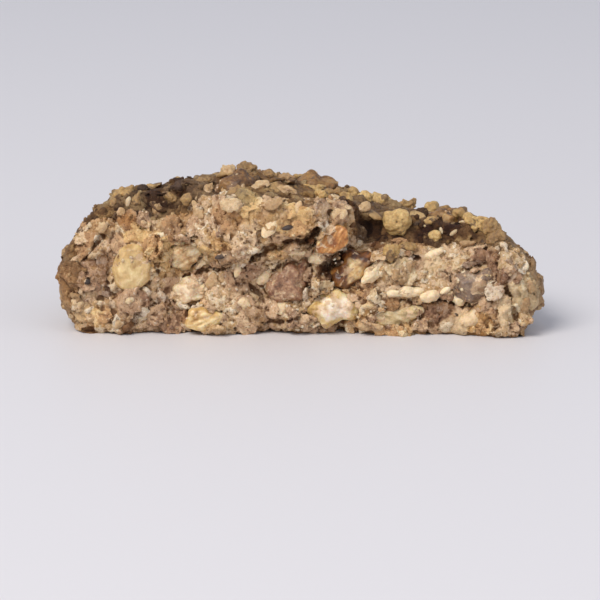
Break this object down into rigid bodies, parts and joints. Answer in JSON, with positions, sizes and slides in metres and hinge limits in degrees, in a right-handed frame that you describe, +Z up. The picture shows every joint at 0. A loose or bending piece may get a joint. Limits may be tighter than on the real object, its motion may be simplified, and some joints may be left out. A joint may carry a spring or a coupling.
{
  "type": "rum raisin cookie",
  "caption": "Half of a thick, lumpy baked cookie with whole raisins in the dough, broken across the middle and lying on its flat underside.",
  "frame": {"origin": "under the middle of the half's outline, on the surface it lies on", "axes": "+X along the broken face, which looks towards -Y; +Z up out of the baked top"},
  "size_m": [0.0824, 0.048, 0.0269],
  "materials": {
    "dough": "matte, rough baked dough",
    "raisin_golden": "slightly glossy dried fruit",
    "raisin_amber": "slightly glossy dried fruit",
    "raisin_mauve": "dull, sugary dried fruit"
  },
  "bodies": {
    "root": {"dough": "dough", "raisin_break_left": "raisin_golden", "raisin_break_cheek": "raisin_golden", "raisin_break_cream": "raisin_golden", "raisin_break_foot": "raisin_golden", "raisin_break_mauve": "raisin_mauve", "raisin_break_split": "raisin_golden", "raisin_break_amber": "raisin_amber", "raisin_break_ledge": "raisin_amber", "raisin_break_long": "raisin_golden", "raisin_break_grey": "raisin_mauve", "raisin_top_front": "raisin_golden", "raisin_top_left": "raisin_amber", "raisin_top_right": "raisin_golden", "raisin_top_back": "raisin_golden", "raisin_rim_right": "raisin_golden", "raisin_rim_1": "raisin_golden", "raisin_rim_2": "raisin_golden", "raisin_rim_3": "raisin_golden", "raisin_rim_4": "raisin_amber"}
  },
  "joints": []
}
